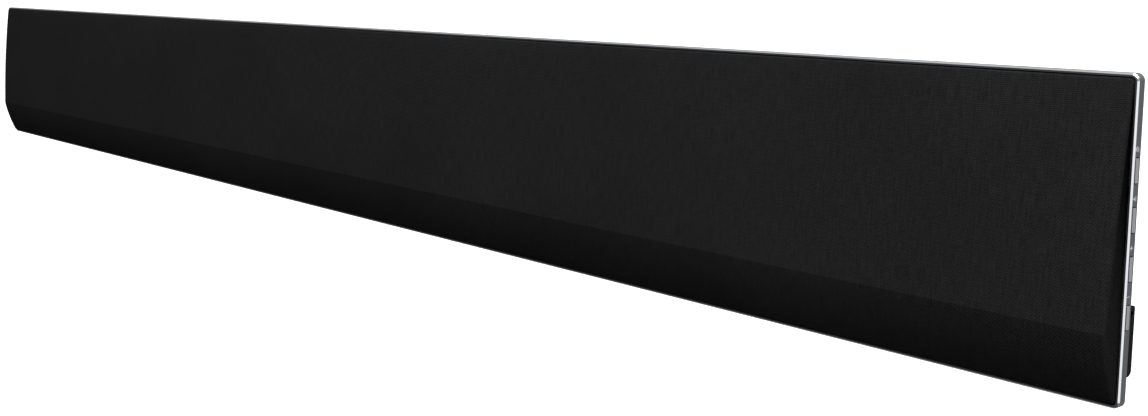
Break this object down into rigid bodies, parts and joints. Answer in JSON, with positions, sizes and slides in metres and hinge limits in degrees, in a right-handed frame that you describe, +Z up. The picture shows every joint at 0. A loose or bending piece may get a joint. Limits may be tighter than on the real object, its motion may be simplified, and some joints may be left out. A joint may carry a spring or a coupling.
{
  "type": "soundbar",
  "caption": "Long slim wall-hung soundbar with a wedge-shaped cloth front in a thin metal frame, side keys, a rear cable bay and keyhole hangers.",
  "frame": {"origin": "midway between the round ends of the two keyholes, on the plane of the wall", "axes": "+X along the bar to the right as seen from the front, +Y into the wall, +Z up"},
  "size_m": [1.4433, 0.031, 0.146],
  "materials": {
    "anodised": "satin anodised with a bright cut edge",
    "key_metal": "satin anodised",
    "grille_cloth": "fine woven charcoal",
    "grille_plastic": "moulded black",
    "housing_plastic": "fine spark texture, black",
    "baffle_board": "moulded black",
    "spacer_plastic": "satin black",
    "rubber_pad": "matt",
    "zinc_steel": "zinc plated",
    "black_screw": "black zinc",
    "socket_steel": "tinned",
    "socket_plastic": "moulded black",
    "circuit_board": "green solder resist",
    "display_plastic": "smoked",
    "basket_steel": "black coat",
    "magnet_steel": "zinc plated",
    "cone_paper": "pressed pulp",
    "surround_foam": "foam",
    "dome_metal": "formed foil"
  },
  "bodies": {
    "chassis": {"front_frame": "anodised", "grille_frame": "grille_plastic", "grille_fabric": "grille_cloth", "baffle": "baffle_board", "rear_housing_left": "housing_plastic", "rear_housing_centre": "housing_plastic", "rear_housing_right": "housing_plastic", "port_panel": "housing_plastic", "dc_inlet": "socket_plastic", "optical_socket": "socket_plastic", "av_sockets": "socket_steel", "usb_socket": "socket_steel", "main_board": "circuit_board", "wireless_module": "socket_steel", "amplifier_board": "circuit_board", "display_board": "display_plastic", "key_board": "circuit_board", "wall_spacer_left": "spacer_plastic", "wall_spacer_right": "spacer_plastic", "spacer_pads": "rubber_pad", "hang_plates": "zinc_steel", "frame_screws": "black_screw", "baffle_screws": "black_screw", "driver_screws": "black_screw", "board_screws": "zinc_steel", "rear_screws": "black_screw", "woofer_1_basket": "basket_steel", "woofer_1_magnet": "magnet_steel", "woofer_1_suspension": "surround_foam", "woofer_2_basket": "basket_steel", "woofer_2_magnet": "magnet_steel", "woofer_2_suspension": "surround_foam", "woofer_3_basket": "basket_steel", "woofer_3_magnet": "magnet_steel", "woofer_3_suspension": "surround_foam", "woofer_4_basket": "basket_steel", "woofer_4_magnet": "magnet_steel", "woofer_4_suspension": "surround_foam", "woofer_5_basket": "basket_steel", "woofer_5_magnet": "magnet_steel", "woofer_5_suspension": "surround_foam", "woofer_6_basket": "basket_steel", "woofer_6_magnet": "magnet_steel", "woofer_6_suspension": "surround_foam", "tweeter_1_body": "display_plastic", "tweeter_2_body": "display_plastic", "tweeter_3_body": "display_plastic"},
    "power_key": {"power_key": "key_metal"},
    "source_key": {"source_key": "key_metal"},
    "volume_up_key": {"volume_up_key": "key_metal"},
    "volume_down_key": {"volume_down_key": "key_metal"},
    "woofer_1_cone": {"woofer_1_cone": "cone_paper"},
    "woofer_2_cone": {"woofer_2_cone": "cone_paper"},
    "woofer_3_cone": {"woofer_3_cone": "cone_paper"},
    "woofer_4_cone": {"woofer_4_cone": "cone_paper"},
    "woofer_5_cone": {"woofer_5_cone": "cone_paper"},
    "woofer_6_cone": {"woofer_6_cone": "cone_paper"},
    "tweeter_1_dome": {"tweeter_1_dome": "dome_metal"},
    "tweeter_2_dome": {"tweeter_2_dome": "dome_metal"},
    "tweeter_3_dome": {"tweeter_3_dome": "dome_metal"}
  },
  "joints": [
    {"name": "power_key_press", "type": "slide", "parent": "chassis", "child": "power_key", "axis": [-1, 0, 0], "range_m": [0, 0.0004], "stiffness_N_per_m": 2500},
    {"name": "source_key_press", "type": "slide", "parent": "chassis", "child": "source_key", "axis": [-1, 0, 0], "range_m": [0, 0.0004], "stiffness_N_per_m": 2500},
    {"name": "volume_up_key_press", "type": "slide", "parent": "chassis", "child": "volume_up_key", "axis": [-1, 0, 0], "range_m": [0, 0.0004], "stiffness_N_per_m": 2500},
    {"name": "volume_down_key_press", "type": "slide", "parent": "chassis", "child": "volume_down_key", "axis": [-1, 0, 0], "range_m": [0, 0.0004], "stiffness_N_per_m": 2500},
    {"name": "woofer_1_stroke", "type": "slide", "parent": "chassis", "child": "woofer_1_cone", "axis": [0, -1, 0], "range_m": [-0.0015, 0.0015], "stiffness_N_per_m": 1500, "deforming": ["woofer_1_suspension"]},
    {"name": "woofer_2_stroke", "type": "slide", "parent": "chassis", "child": "woofer_2_cone", "axis": [0, -1, 0], "range_m": [-0.0015, 0.0015], "stiffness_N_per_m": 1500, "deforming": ["woofer_2_suspension"]},
    {"name": "woofer_3_stroke", "type": "slide", "parent": "chassis", "child": "woofer_3_cone", "axis": [0, -1, 0], "range_m": [-0.0015, 0.0015], "stiffness_N_per_m": 1500, "deforming": ["woofer_3_suspension"]},
    {"name": "woofer_4_stroke", "type": "slide", "parent": "chassis", "child": "woofer_4_cone", "axis": [0, -1, 0], "range_m": [-0.0015, 0.0015], "stiffness_N_per_m": 1500, "deforming": ["woofer_4_suspension"]},
    {"name": "woofer_5_stroke", "type": "slide", "parent": "chassis", "child": "woofer_5_cone", "axis": [0, -1, 0], "range_m": [-0.0015, 0.0015], "stiffness_N_per_m": 1500, "deforming": ["woofer_5_suspension"]},
    {"name": "woofer_6_stroke", "type": "slide", "parent": "chassis", "child": "woofer_6_cone", "axis": [0, -1, 0], "range_m": [-0.0015, 0.0015], "stiffness_N_per_m": 1500, "deforming": ["woofer_6_suspension"]},
    {"name": "tweeter_1_stroke", "type": "slide", "parent": "chassis", "child": "tweeter_1_dome", "axis": [0, -1, 0], "range_m": [-0.0002, 0.0002], "stiffness_N_per_m": 3000},
    {"name": "tweeter_2_stroke", "type": "slide", "parent": "chassis", "child": "tweeter_2_dome", "axis": [0, -1, 0], "range_m": [-0.0002, 0.0002], "stiffness_N_per_m": 3000},
    {"name": "tweeter_3_stroke", "type": "slide", "parent": "chassis", "child": "tweeter_3_dome", "axis": [0, -1, 0], "range_m": [-0.0002, 0.0002], "stiffness_N_per_m": 3000}
  ]
}
